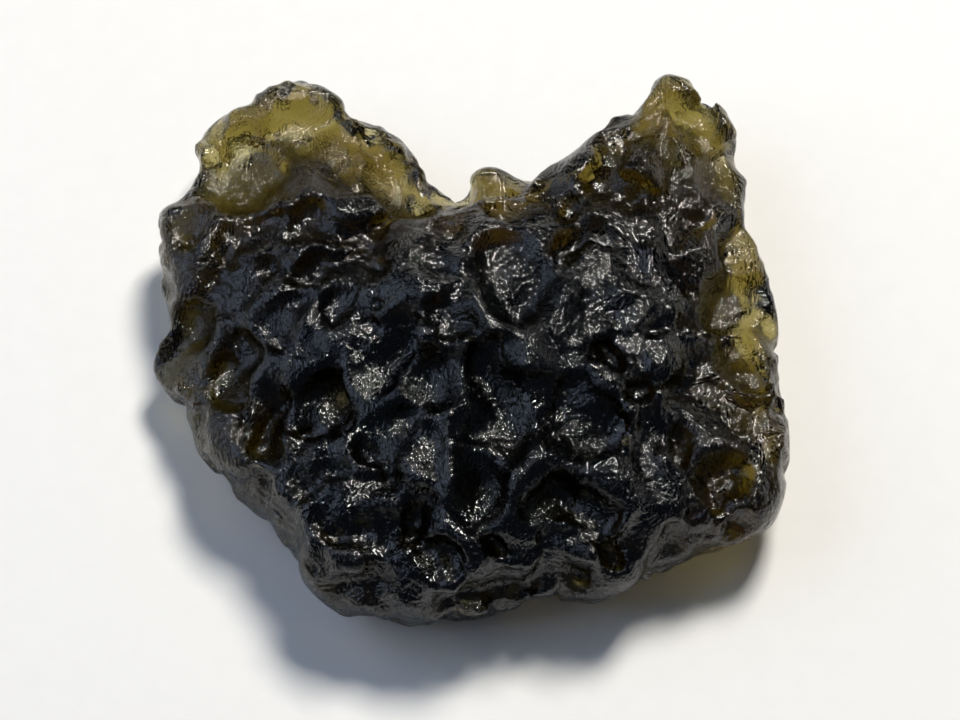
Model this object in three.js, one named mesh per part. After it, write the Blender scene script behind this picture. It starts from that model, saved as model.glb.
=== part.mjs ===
import * as THREE from 'three';
import { mergeVertices } from 'three/addons/utils/BufferGeometryUtils.js';

// Raw moldavite: one piece of natural glass, a flat lobed body etched all over with bowl-shaped pits.
// Millimetres, +Z up. The stone lies on its underside, with its two lobes pointing to +Y.

// Driving dimensions: the stone's width, and how much of its lowest ridges is worn flat
const STONE_WIDTH = 36.0;
const FOOT_WEAR = 0.4;

// How many of its depths a pit's ellipsoid measures from its middle to its floor
const BOWL = 2.2;

// The middle that the outline is seen from, in plan
const MIDDLE = new THREE.Vector2(1.5, 1.0);

// The outline in plan, counterclockwise from the right side
const OUTLINE = [
  [17.7, 1.4], [17.5, 4.5], [17.3, 7.3], [16.7, 9.5], [16.0, 12.1], [15.9, 14.5], [15.6, 16.7],
  [14.5, 18.8], [13.3, 19.9], [12.1, 20.4], [11.0, 20.5], [10.2, 19.6], [9.0, 17.9], [8.1, 17.7],
  [7.3, 16.9], [6.5, 15.7], [5.6, 14.9], [4.2, 14.2], [3.2, 13.8], [2.0, 14.1], [0.9, 14.4],
  [0.1, 14.0], [-0.4, 13.4], [-1.7, 13.1], [-2.8, 14.1], [-3.5, 15.7], [-4.6, 16.7], [-5.7, 17.7],
  [-6.8, 18.1], [-7.6, 19.1], [-8.4, 19.8], [-9.6, 20.5], [-10.7, 20.9], [-11.8, 20.4], [-12.9, 19.6],
  [-13.3, 18.9], [-14.7, 18.4], [-15.9, 17.2], [-16.4, 16.1], [-16.1, 15.0], [-16.3, 13.9], [-16.9, 12.7],
  [-18.0, 12.0], [-18.3, 10.9], [-18.0, 9.5], [-17.9, 7.6], [-17.4, 5.5], [-17.9, 3.8], [-18.2, 2.7],
  [-17.3, 1.3], [-16.4, 0.0], [-15.8, -1.2], [-15.5, -2.4], [-14.5, -3.9], [-13.0, -5.5], [-11.3, -6.8],
  [-10.7, -8.0], [-9.9, -9.3], [-9.3, -10.6], [-8.5, -11.5], [-6.9, -12.3], [-4.5, -12.8], [-1.8, -12.9],
  [0.4, -12.7], [1.9, -12.0], [4.0, -11.7], [5.5, -11.3], [7.0, -11.5], [9.3, -10.9], [10.5, -9.9],
  [12.6, -8.8], [15.0, -8.2], [16.7, -7.2], [17.6, -5.1], [17.9, -2.3],
];

// Heights of the two faces before any pit: x, y, top, underside
const HEIGHTS = [
  [0.0, 4.0, 11.6, 0.1], [0.0, -6.0, 10.8, 0.2], [7.0, -5.0, 10.0, 0.3], [-8.0, -5.0, 9.3, 0.4],
  [9.0, 4.0, 10.0, 0.3], [-9.0, 4.0, 9.6, 0.2], [-9.5, 10.3, 9.4, 0.8], [-14.5, 6.8, 7.8, 1.2],
  [-13.5, 14.5, 6.2, 2.6], [-10.0, 18.5, 6.3, 2.8], [-4.6, 13.2, 7.4, 2.8], [1.5, 8.5, 10.4, 0.6],
  [1.2, 13.1, 6.9, 3.4], [7.0, 12.5, 9.0, 1.4], [11.0, 9.0, 9.2, 1.0], [11.5, 17.5, 7.4, 2.6],
  [15.5, 12.0, 6.0, 2.8], [15.6, 5.8, 5.7, 2.9], [16.5, -1.0, 7.2, 1.6], [14.0, -7.0, 7.4, 1.6],
  [4.0, -11.0, 8.2, 1.2], [-5.0, -11.0, 8.2, 1.0], [-13.0, -3.0, 7.2, 1.6], [-17.0, 3.5, 5.4, 1.8],
];
const HEIGHT_REACH = 2.7;

// One pit: where its middle is in plan, its half widths across and along, its depth, the turn of its
// length from +Y, and how far its floor leans down towards its head. Angles are in degrees.
const pit = (x, y, across, along, depth, turn = 0, lean = 0) => ({ x, y, across, along, depth, turn, lean });

const TOP_PITS = [
  // Far left lobe, thin enough to let light through
  pit(-13.3, 13.9, 2.8, 3.0, 2.3, -15),
  pit(-10.2, 17.5, 2.1, 1.7, 1.9, 0, 8),
  pit(-10.2, 13.9, 1.6, 2.2, 0.7, 25),
  pit(-15.2, 17.5, 1.6, 1.1, 0.6, 60),
  pit(-16.9, 10.3, 1.3, 1.6, 0.7, 30),
  pit(-4.2, 13.0, 2.0, 3.6, 2.3, 42),
  pit(-7.4, 14.6, 0.9, 2.4, 0.9, 12),
  pit(-8.0, 18.0, 1.0, 1.3, 0.5, 40),
  // Left flank
  pit(-8.4, 9.6, 2.5, 1.5, 1.1, -12, 10),
  pit(-9.0, 7.2, 1.7, 0.6, 1.3, 30, 15),
  pit(-12.7, 9.3, 3.2, 1.5, 0.7, 28),
  pit(-13.7, 6.3, 2.4, 1.8, 0.6, 15),
  pit(-16.2, 4.2, 1.6, 2.0, 0.7, 10),
  pit(-10.7, 3.6, 1.2, 2.4, 1.0, -42, 8),
  pit(-7.4, 4.2, 1.5, 1.7, 0.9, -20, 10),
  pit(-6.2, 7.0, 1.7, 1.5, 0.9, 0, 12),
  pit(-13.5, 1.0, 1.5, 2.2, 0.8, -15),
  pit(-11.4, -1.0, 1.2, 2.0, 0.9, -10, 8),
  pit(-8.6, -1.8, 2.2, 2.3, 1.3, 0, 12),
  pit(-11.4, -4.0, 1.2, 2.1, 0.9, 12, 8),
  pit(-9.8, -6.2, 1.8, 1.6, 0.7, 30),
  pit(-7.6, -5.4, 1.2, 1.5, 0.8, 10, 10),
  // Middle, where the pits are long and run down the stone
  pit(-2.0, 6.2, 1.6, 1.7, 1.0, 0, 12),
  pit(2.6, 5.0, 2.6, 4.3, 2.1, 14, 14),
  pit(-0.7, 3.6, 1.0, 2.4, 0.9, -8, 8),
  pit(-4.6, 1.2, 1.4, 3.4, 1.8, -32, 10),
  pit(-2.2, -0.6, 2.4, 2.3, 2.0, 0, 16),
  pit(1.6, -2.6, 2.0, 3.9, 2.2, 14, 12),
  pit(0.6, -7.2, 1.8, 3.6, 1.9, -4, 6),
  pit(-4.8, -3.6, 1.4, 2.1, 1.0, -12, 10),
  pit(-2.3, -5.0, 1.4, 1.8, 1.0, 0, 12),
  pit(-2.7, -8.4, 1.9, 1.5, 0.9, -20, 10),
  pit(-4.6, -6.6, 1.2, 1.1, 0.7, 0, 10),
  pit(-5.8, -9.3, 1.8, 1.3, 0.9, 0, 14),
  pit(-8.0, -8.6, 1.4, 1.7, 0.8, 25),
  // Notch between the lobes
  pit(1.4, 12.7, 2.1, 1.1, 1.6, 8),
  pit(1.9, 10.3, 2.4, 1.3, 0.8, 0, 6),
  pit(4.9, 10.9, 1.5, 1.7, 0.8, 0),
  pit(5.9, 8.4, 1.6, 1.3, 0.9, 0, 10),
  pit(6.2, 6.4, 1.5, 0.6, 1.1, 22, 14),
  // Right flank
  pit(8.0, 11.8, 1.8, 2.2, 1.0, 0, 10),
  pit(11.2, 13.2, 1.1, 1.9, 0.6, 10),
  pit(11.0, 9.4, 1.5, 1.5, 0.7, 0, 8),
  pit(12.9, 17.1, 1.6, 2.2, 1.0, 10),
  pit(10.6, 17.2, 1.0, 1.4, 0.5, 30),
  pit(14.5, 14.4, 1.8, 2.4, 1.2, 0),
  pit(15.4, 9.6, 1.3, 2.2, 1.3, -18),
  pit(14.9, 5.5, 2.1, 2.1, 2.0, 0),
  pit(9.7, 6.3, 1.5, 1.7, 0.9, 0, 12),
  pit(12.3, 6.4, 1.2, 1.6, 0.7, 0, 10),
  pit(8.4, 3.8, 1.3, 1.6, 0.8, 10, 10),
  pit(11.1, 3.4, 1.7, 0.6, 1.1, 0, 14),
  pit(11.9, 1.9, 2.0, 1.2, 0.6, 0),
  pit(7.3, 1.1, 1.3, 0.6, 1.1, 0, 14),
  pit(5.0, 0.9, 1.4, 1.4, 0.8, 0, 12),
  pit(5.8, -3.0, 2.4, 2.9, 1.4, 6, 10),
  pit(9.4, -0.6, 1.6, 1.5, 0.8, 0, 10),
  pit(12.6, -0.6, 1.5, 1.3, 0.7, -30, 8),
  pit(15.2, 1.4, 1.4, 1.9, 0.9, 0, 10),
  pit(10.1, -3.6, 1.2, 1.9, 1.0, 0, 12),
  pit(12.2, -3.6, 1.0, 1.8, 0.9, 0, 12),
  pit(14.6, -2.2, 1.6, 1.5, 0.9, 0, 10),
  pit(14.4, -5.4, 1.9, 1.7, 1.1, 0, 12),
  pit(9.9, -6.8, 2.0, 1.5, 0.7, 0, 6),
  pit(4.4, -7.4, 1.8, 1.6, 0.8, 0, 8),
  pit(7.0, -8.2, 1.5, 1.2, 0.7, 20, 8),
  // Near edge
  pit(1.8, -10.3, 1.7, 1.1, 0.9, 0, 12),
  pit(4.4, -10.2, 1.5, 0.9, 0.7, 0, 12),
  pit(8.2, -10.3, 0.6, 1.6, 1.2, 4, 6),
  pit(9.6, -10.0, 0.9, 1.2, 0.8, 0, 8),
  pit(-2.2, -11.2, 1.6, 1.1, 0.7, 0),
  pit(-5.6, -11.4, 0.8, 1.0, 0.9, -15),
];

// Pits spread over each face a golden turn apart, and along the edge in two rows: half widths and depths
const TOP_SPREAD = { side: 1, count: 150, clear: 1.0, widths: [1.2, 1.9], depths: [0.6, 1.0] };
const UNDER_SPREAD = { side: -1, count: 96, clear: 0, widths: [1.6, 2.6], depths: [0.8, 1.5] };
const SPREAD = { radius: 22.0, inset: 0.8 };
const EDGE_PITS = { spacing: 2.3, rise: 0.5, fullSizeAt: 3.6, widths: [1.2, 1.9], depths: [0.5, 1.0] };

// Rounding of the edge: how far in it starts, and the power of its curve
const EDGE_ROUND = { least: 1.2, most: 3.0, share: 0.6, extra: 0.6, power: 2.3 };

// The inner layer that no pit reaches: its share of the thickness, and how far its own edge lies in
const CORE = { share: 0.24, inset: 1.6 };

// How far the body stands outside the outline before the edge pits take their share
const OUTLINE_ALLOWANCE = 0.25;

// Sampling: facets along an edge of the starting icosahedron, steps between outline points, the plan
// grid, the belt of the ball that makes the edge, rounds of evening out before and after the pits, and
// how far a corner goes in each
const FACETS_PER_EDGE = 21;
const OUTLINE_STEPS = 6;
const PLAN = { half: 26, step: 0.2 };
const BELT = 0.28;
const ROUNDS = { body: 26, pitted: 10, share: 0.6 };
const LONGEST_MOVE = 0.6;
const LEAST_SLOPE = 0.2;
const NUDGE = 0.02;
const NEAR_PIT = 2.0;
const FLATTEST = 0.05;
const SEEDS = { top: 0, under: 200, edge: 400 };
const GOLDEN_TURN = Math.PI * (3 - Math.sqrt(5));

const mix = THREE.MathUtils.lerp;

// The outline as a closed run of short straight steps on a smooth curve through its points.
const RIM = new THREE.CatmullRomCurve3(
  OUTLINE.map(([x, y]) => new THREE.Vector3(x, y, 0)), true, 'catmullrom', 0.5,
).getPoints(OUTLINE.length * OUTLINE_STEPS).slice(0, -1);
const ARMS = RIM.map(({ x, y }) => new THREE.Vector2(x, y).sub(MIDDLE)).map((arm) => ({
  angle: arm.angle(),
  length: arm.length(),
}));

// Distance in from the outline in plan, below zero outside it.
function measureIn(x, y) {
  let nearest = Infinity;
  let inside = false;
  for (let i = 0, j = RIM.length - 1; i < RIM.length; j = i, i += 1) {
    const ax = RIM[j].x;
    const ay = RIM[j].y;
    const dx = RIM[i].x - ax;
    const dy = RIM[i].y - ay;
    const share = Math.min(Math.max(((x - ax) * dx + (y - ay) * dy) / (dx * dx + dy * dy), 0), 1);
    nearest = Math.min(nearest, (x - ax - share * dx) ** 2 + (y - ay - share * dy) ** 2);
    if ((RIM[i].y > y) !== (ay > y) && x < ax + ((y - ay) / dy) * dx) inside = !inside;
  }
  return (inside ? 1 : -1) * Math.sqrt(nearest);
}

// Heights of the top and the underside at a place in plan, blended from the nearest given heights.
function blendHeights(x, y) {
  let weights = 0;
  let top = 0;
  let under = 0;
  for (const [px, py, pointTop, pointUnder] of HEIGHTS) {
    const weight = Math.exp(-((x - px) ** 2 + (y - py) ** 2) / (2 * HEIGHT_REACH ** 2)) + 1e-9;
    weights += weight;
    top += weight * pointTop;
    under += weight * pointUnder;
  }
  return [top / weights, under / weights];
}

// The body's plan, measured once on a square grid: distance in, middle height and half thickness.
const PLAN_COUNT = Math.round((2 * PLAN.half) / PLAN.step) + 1;
const PLAN_GRID = Array.from({ length: PLAN_COUNT * PLAN_COUNT }, (_, i) => {
  const x = (i % PLAN_COUNT) * PLAN.step - PLAN.half;
  const y = Math.floor(i / PLAN_COUNT) * PLAN.step - PLAN.half;
  const [top, under] = blendHeights(x, y);
  return [measureIn(x, y) + OUTLINE_ALLOWANCE, (top + under) / 2, (top - under) / 2];
});

function planAt(x, y) {
  const across = THREE.MathUtils.clamp((x + PLAN.half) / PLAN.step, 0, PLAN_COUNT - 1.001);
  const along = THREE.MathUtils.clamp((y + PLAN.half) / PLAN.step, 0, PLAN_COUNT - 1.001);
  const first = Math.floor(along) * PLAN_COUNT + Math.floor(across);
  const u = across % 1;
  const v = along % 1;
  const [inset, middle, half] = [0, 1, 2].map((part) => mix(
    mix(PLAN_GRID[first][part], PLAN_GRID[first + 1][part], u),
    mix(PLAN_GRID[first + PLAN_COUNT][part], PLAN_GRID[first + PLAN_COUNT + 1][part], u),
    v,
  ));
  return { inset, middle, half };
}

// How far the edge's rounding reaches in, for a body of this half thickness.
function roundingAt(half) {
  const reach = EDGE_ROUND.share * half + EDGE_ROUND.extra;
  return THREE.MathUtils.clamp(reach, EDGE_ROUND.least, EDGE_ROUND.most);
}

// The smooth body before any pit: zero on its surface, below zero in the glass.
// With an inner inset and a share, the same for a thinner body inside it.
function bodyLevel({ x, y, z }, innerInset = 0, share = 1) {
  const { inset, middle, half } = planAt(x, y);
  const edge = Math.max(1 - (inset - innerInset) / roundingAt(half), 0);
  const rise = Math.abs(z - middle) / (half * share);
  const out = (edge ** EDGE_ROUND.power + rise ** EDGE_ROUND.power) ** (1 / EDGE_ROUND.power);
  return (out - 1) * half * share;
}

// The pitted stone: the body without its bowls, but never less than its inner layer.
function stoneLevel(point, bowls) {
  let level = bodyLevel(point);
  const seen = new THREE.Vector3();
  for (const { toBall, scale } of bowls) {
    level = Math.max(level, (1 - seen.copy(point).applyMatrix4(toBall).length()) * scale);
  }
  return level > 0 ? Math.min(level, bodyLevel(point, CORE.inset, CORE.share)) : level;
}

function slopeOf(level, point) {
  const slope = new THREE.Vector3();
  const probe = new THREE.Vector3();
  for (let axis = 0; axis < 3; axis += 1) {
    const above = level(probe.copy(point).setComponent(axis, point.getComponent(axis) + NUDGE));
    const below = level(probe.copy(point).setComponent(axis, point.getComponent(axis) - NUDGE));
    slope.setComponent(axis, (above - below) / (2 * NUDGE));
  }
  return slope;
}

// Moves a point straight to where the level is zero, in a few steps.
function settleOn(level, point, steps) {
  for (let i = 0; i < steps; i += 1) {
    const slope = slopeOf(level, point);
    const steepness = Math.max(slope.length(), LEAST_SLOPE);
    const move = THREE.MathUtils.clamp(level(point) / steepness, -LONGEST_MOVE, LONGEST_MOVE);
    point.addScaledVector(slope, -move / steepness);
  }
  return point;
}

// The point of the body straight above (side 1) or below (side -1) a place in plan.
function facePoint(x, y, side) {
  const { inset, middle, half } = planAt(x, y);
  const edge = THREE.MathUtils.clamp(1 - inset / roundingAt(half), 0, 0.98);
  const rise = (1 - edge ** EDGE_ROUND.power) ** (1 / EDGE_ROUND.power);
  return new THREE.Vector3(x, y, middle + side * half * rise);
}

// A pit as an ellipsoid: its middle, held above the surface, and the matrix that turns it to a unit ball.
function bowl(point, { across, along, depth, turn, lean }) {
  const normal = slopeOf(bodyLevel, point).normalize();
  const guide = Math.abs(normal.z) > 0.6 ? new THREE.Vector3(0, 1, 0) : new THREE.Vector3(0, 0, 1);
  const side = guide.cross(normal).normalize();
  const head = normal.clone().cross(side);
  const turned = THREE.MathUtils.degToRad(turn);
  const width = side.clone().multiplyScalar(Math.cos(turned)).addScaledVector(head, Math.sin(turned));
  const length = normal.clone().cross(width);
  length.applyAxisAngle(width, THREE.MathUtils.degToRad(-lean));
  const up = width.clone().cross(length);
  const openShare = Math.sqrt(1 - ((BOWL - 1) / BOWL) ** 2);
  const axes = new THREE.Matrix4().makeBasis(
    width.multiplyScalar(across / openShare),
    length.multiplyScalar(along / openShare),
    up.multiplyScalar(depth * BOWL),
  );
  const middle = point.clone().addScaledVector(normal, depth * (BOWL - 1));
  return {
    middle,
    toBall: axes.setPosition(middle).invert(),
    scale: Math.min(across, along, depth * BOWL),
    reach: Math.max(across, along) / openShare + depth * BOWL,
  };
}

// A repeatable number from 0 to 1 for each whole number and purpose.
function chance(index, purpose) {
  const wave = Math.sin(index * 12.9898 + purpose * 78.233) * 43758.5453;
  return wave - Math.floor(wave);
}

// The shape of the pit with this number, within a range of sizes.
function chancePit(index, { widths, depths }, size = 1) {
  const across = size * mix(...widths, chance(index, 2));
  return {
    across,
    along: across * mix(0.8, 1.35, chance(index, 3)),
    depth: size * mix(...depths, chance(index, 4)),
    turn: chance(index, 5) * 180,
    lean: chance(index, 6) * 10,
  };
}

// Pits over one face, in a spiral, left out where a placed pit already covers the spot.
function spreadBowls(spread, placed, seed) {
  const bowls = [];
  for (let i = 0; i < spread.count; i += 1) {
    const radius = SPREAD.radius * Math.sqrt((i + 0.5) / spread.count);
    const x = MIDDLE.x + radius * Math.cos(i * GOLDEN_TURN);
    const y = MIDDLE.y + radius * Math.sin(i * GOLDEN_TURN);
    const covered = placed.some((p) => (
      Math.hypot(p.x - x, p.y - y) < (spread.clear * (p.across + p.along)) / 2));
    if (covered || planAt(x, y).inset < SPREAD.inset) continue;
    bowls.push(bowl(facePoint(x, y, spread.side), chancePit(i + seed, spread)));
  }
  return bowls;
}

// Pits round the edge, in a zigzag of two rows.
function edgeBowls(seed) {
  const lengths = [0];
  RIM.forEach((point, i) => lengths.push(lengths[i] + point.distanceTo(RIM[(i + 1) % RIM.length])));
  const count = Math.round(lengths.at(-1) / EDGE_PITS.spacing);
  return Array.from({ length: count }, (_, i) => {
    const place = ((i + 0.5 * chance(i, 7)) / count) * lengths.at(-1);
    const { x, y } = RIM[lengths.findIndex((length) => length > place) - 1];
    const { middle, half } = planAt(x, y);
    const row = i % 2 === 0 ? 1 : -1;
    const point = new THREE.Vector3(x, y, middle + half * EDGE_PITS.rise * row);
    const size = Math.min(half / EDGE_PITS.fullSizeAt, 1);
    return bowl(settleOn(bodyLevel, point, 4), chancePit(i + seed, EDGE_PITS, size));
  });
}

// How deep the pits reach below a point of the body, going straight in. The second pass finds a pit
// that opens only from inside another.
function pitDepth(point, inward, bowls) {
  let depth = 0;
  const start = new THREE.Vector3();
  const heading = new THREE.Vector3();
  for (let pass = 0; pass < 2; pass += 1) {
    for (const { toBall } of bowls) {
      start.copy(point).applyMatrix4(toBall);
      heading.copy(point).add(inward).applyMatrix4(toBall).sub(start);
      const a = heading.lengthSq();
      const b = start.dot(heading);
      const inside = b * b - a * (start.lengthSq() - 1);
      if (inside <= 0) continue;
      const root = Math.sqrt(inside);
      if ((-b - root) / a <= depth) depth = Math.max(depth, (root - b) / a);
    }
  }
  return depth;
}

// How far the outline lies from its middle, in the direction of an angle in plan.
function outlineRadius(angle) {
  const aside = (arm) => Math.abs(Math.atan2(Math.sin(arm.angle - angle), Math.cos(arm.angle - angle)));
  return ARMS.reduce((nearest, arm) => (aside(arm) < aside(nearest) ? arm : nearest)).length;
}

// A starting place near the body for a direction on the unit ball: the ball's caps spread evenly over
// the two faces, and a belt about its equator becomes the edge.
function startingPlace(direction) {
  const angle = Math.atan2(direction.y, direction.x);
  const capShare = (1 - Math.abs(direction.z)) / (1 - BELT);
  const radius = outlineRadius(angle) * Math.sqrt(Math.min(capShare, 1));
  const x = MIDDLE.x + radius * Math.cos(angle);
  const y = MIDDLE.y + radius * Math.sin(angle);
  const { middle, half } = planAt(x, y);
  return new THREE.Vector3(x, y, middle + half * THREE.MathUtils.clamp(direction.z / BELT, -1, 1));
}

function neighboursOf(count, index) {
  const neighbours = Array.from({ length: count }, () => new Set());
  for (let i = 0; i < index.length; i += 3) {
    const face = [index[i], index[i + 1], index[i + 2]];
    face.forEach((corner) => face.forEach((other) => other !== corner && neighbours[corner].add(other)));
  }
  return neighbours.map((near) => [...near]);
}

// Evens out the facets: each corner moves towards its neighbours, most to the farthest, and then back
// to the surface.
function relax(corners, neighbours, levels, rounds) {
  for (let round = 0; round < rounds; round += 1) {
    const means = corners.map((corner, i) => {
      const mean = new THREE.Vector3();
      let lengths = 0;
      for (const other of neighbours[i]) {
        const length = corner.distanceTo(corners[other]);
        mean.addScaledVector(corners[other], length);
        lengths += length;
      }
      return mean.divideScalar(lengths);
    });
    corners.forEach((corner, i) => settleOn(levels[i], corner.lerp(means[i], ROUNDS.share), 1));
  }
  corners.forEach((corner, i) => settleOn(levels[i], corner, 3));
}

// The stone: a ball drawn out to the body, then pitted, with its facets evened out each time.
function moldaviteGeometry() {
  const ball = new THREE.IcosahedronGeometry(1, FACETS_PER_EDGE);
  ball.deleteAttribute('normal');
  ball.deleteAttribute('uv');
  const geometry = mergeVertices(ball, 1e-5);
  const position = geometry.attributes.position;
  const neighbours = neighboursOf(position.count, geometry.index.array);
  const corners = Array.from({ length: position.count }, (_, i) => (
    startingPlace(new THREE.Vector3().fromBufferAttribute(position, i).normalize())));
  relax(corners, neighbours, corners.map(() => bodyLevel), ROUNDS.body);

  const bowls = [
    ...TOP_PITS.map((p) => bowl(facePoint(p.x, p.y, 1), p)),
    ...spreadBowls(TOP_SPREAD, TOP_PITS, SEEDS.top),
    ...spreadBowls(UNDER_SPREAD, [], SEEDS.under),
    ...edgeBowls(SEEDS.edge),
  ];
  const levels = corners.map((corner) => {
    const near = bowls.filter((b) => b.middle.distanceTo(corner) < b.reach + NEAR_PIT);
    const normal = slopeOf(bodyLevel, corner).normalize();
    const height = Math.abs(corner.z - planAt(corner.x, corner.y).middle);
    const toMiddle = height / Math.max(Math.abs(normal.z), FLATTEST);
    const depth = pitDepth(corner, normal.clone().negate(), near);
    corner.addScaledVector(normal, -Math.min(depth, toMiddle * (1 - CORE.share)));
    return (point) => stoneLevel(point, near);
  });
  relax(corners, neighbours, levels, ROUNDS.pitted);

  const lowest = Math.min(...corners.map((corner) => corner.z));
  corners.forEach(({ x, y, z }, i) => position.setXYZ(i, x, y, Math.max(z, lowest + FOOT_WEAR)));
  return geometry;
}

// Sets the width, and the origin at the middle of the box's underside.
function settled(geometry) {
  geometry.computeBoundingBox();
  const size = geometry.boundingBox.getSize(new THREE.Vector3());
  const centre = geometry.boundingBox.getCenter(new THREE.Vector3());
  geometry.translate(-centre.x, -centre.y, -geometry.boundingBox.min.z);
  geometry.scale(STONE_WIDTH / size.x, STONE_WIDTH / size.x, STONE_WIDTH / size.x);
  geometry.computeVertexNormals();
  return geometry;
}

const moldavite = new THREE.Mesh(
  settled(moldaviteGeometry()),
  new THREE.MeshStandardMaterial({
    name: 'moldavite_glass', color: 0x2b2c17, roughness: 0.18, metalness: 0.0,
  }),
);
moldavite.name = 'moldavite';

const stone = new THREE.Group();
stone.add(moldavite);

export default stone;
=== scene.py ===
"""Raw moldavite on white paper: one piece of natural glass, etched all over with bowl-shaped pits.

The stone repeats the solid's body, outline and larger pits on a fine grid, and adds the small scoops and
the flow ripples that the solid leaves out. Places on the stone are in millimetres, in the plan frame that
its outline is drawn in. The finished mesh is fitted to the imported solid's box and is in metres.
"""

import logging
import math
from dataclasses import dataclass, field
from enum import Enum

import bpy
import numpy as np
import openvdb
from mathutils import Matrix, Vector


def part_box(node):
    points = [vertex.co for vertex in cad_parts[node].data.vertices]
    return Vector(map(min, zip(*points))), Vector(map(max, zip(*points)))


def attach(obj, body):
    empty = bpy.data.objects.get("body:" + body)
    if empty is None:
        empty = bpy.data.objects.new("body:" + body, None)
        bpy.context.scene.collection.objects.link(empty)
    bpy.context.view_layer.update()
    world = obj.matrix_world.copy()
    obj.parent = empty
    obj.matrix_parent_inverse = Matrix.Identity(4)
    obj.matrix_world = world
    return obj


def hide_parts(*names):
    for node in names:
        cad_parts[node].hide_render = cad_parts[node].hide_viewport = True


log = logging.getLogger("moldavite")

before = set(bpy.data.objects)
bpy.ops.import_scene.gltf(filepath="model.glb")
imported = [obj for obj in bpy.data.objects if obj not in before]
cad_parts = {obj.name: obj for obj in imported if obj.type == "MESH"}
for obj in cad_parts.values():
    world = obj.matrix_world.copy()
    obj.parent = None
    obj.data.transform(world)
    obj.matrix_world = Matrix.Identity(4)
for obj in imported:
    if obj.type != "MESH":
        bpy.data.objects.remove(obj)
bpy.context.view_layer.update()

NODE = "moldavite"
MM = 0.001
TINY = 1e-9
GOLDEN_TURN = math.pi * (3 - math.sqrt(5))

Array = np.ndarray
Triple = tuple[float, float, float]


class Face(Enum):
    """The face of the stone that a pit opens on."""

    TOP = 1
    UNDERSIDE = -1


@dataclass(frozen=True)
class Pit:
    """One bowl-shaped pit: its place in plan, half widths, depth, turn from +Y and lean of its floor.

    A smooth pit has no small scoops in it, only ripples.
    """

    x: float
    y: float
    across: float
    along: float
    depth: float
    turn: float = 0.0
    lean: float = 0.0
    smooth: bool = False


@dataclass(frozen=True)
class PitSizes:
    """The half widths and depths that spread pits are drawn from, in millimetres."""

    widths: tuple[float, float]
    depths: tuple[float, float]


# The outline in plan, counterclockwise from the right side
OUTLINE = (
    (17.7, 1.4), (17.5, 4.5), (17.3, 7.3), (16.7, 9.5), (16.0, 12.1), (15.9, 14.5), (15.6, 16.7),
    (14.5, 18.8), (13.3, 19.9), (12.1, 20.4), (11.0, 20.5), (10.2, 19.6), (9.0, 17.9), (8.1, 17.7),
    (7.3, 16.9), (6.5, 15.7), (5.6, 14.9), (4.2, 14.2), (3.2, 13.8), (2.0, 14.1), (0.9, 14.4),
    (0.1, 14.0), (-0.4, 13.4), (-1.7, 13.1), (-2.8, 14.1), (-3.5, 15.7), (-4.6, 16.7), (-5.7, 17.7),
    (-6.8, 18.1), (-7.6, 19.1), (-8.4, 19.8), (-9.6, 20.5), (-10.7, 20.9), (-11.8, 20.4), (-12.9, 19.6),
    (-13.3, 18.9), (-14.7, 18.4), (-15.9, 17.2), (-16.4, 16.1), (-16.1, 15.0), (-16.3, 13.9), (-16.9, 12.7),
    (-18.0, 12.0), (-18.3, 10.9), (-18.0, 9.5), (-17.9, 7.6), (-17.4, 5.5), (-17.9, 3.8), (-18.2, 2.7),
    (-17.3, 1.3), (-16.4, 0.0), (-15.8, -1.2), (-15.5, -2.4), (-14.5, -3.9), (-13.0, -5.5), (-11.3, -6.8),
    (-10.7, -8.0), (-9.9, -9.3), (-9.3, -10.6), (-8.5, -11.5), (-6.9, -12.3), (-4.5, -12.8), (-1.8, -12.9),
    (0.4, -12.7), (1.9, -12.0), (4.0, -11.7), (5.5, -11.3), (7.0, -11.5), (9.3, -10.9), (10.5, -9.9),
    (12.6, -8.8), (15.0, -8.2), (16.7, -7.2), (17.6, -5.1), (17.9, -2.3),
)

# Heights of the two faces before any pit: x, y, top, underside
HEIGHTS = (
    (0.0, 4.0, 11.6, 0.1), (0.0, -6.0, 10.8, 0.2), (7.0, -5.0, 10.0, 0.3), (-8.0, -5.0, 9.3, 0.4),
    (9.0, 4.0, 10.0, 0.3), (-9.0, 4.0, 9.6, 0.2), (-9.5, 10.3, 9.4, 0.8), (-14.5, 6.8, 7.8, 1.2),
    (-13.5, 14.5, 6.2, 2.6), (-10.0, 18.5, 6.3, 2.8), (-4.6, 13.2, 7.4, 2.8), (1.5, 8.5, 10.4, 0.6),
    (1.2, 13.1, 6.9, 3.4), (7.0, 12.5, 9.0, 1.4), (11.0, 9.0, 9.2, 1.0), (11.5, 17.5, 7.4, 2.6),
    (15.5, 12.0, 6.0, 2.8), (15.6, 5.8, 5.7, 2.9), (16.5, -1.0, 7.2, 1.6), (14.0, -7.0, 7.4, 1.6),
    (4.0, -11.0, 8.2, 1.2), (-5.0, -11.0, 8.2, 1.0), (-13.0, -3.0, 7.2, 1.6), (-17.0, 3.5, 5.4, 1.8),
)

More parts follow.
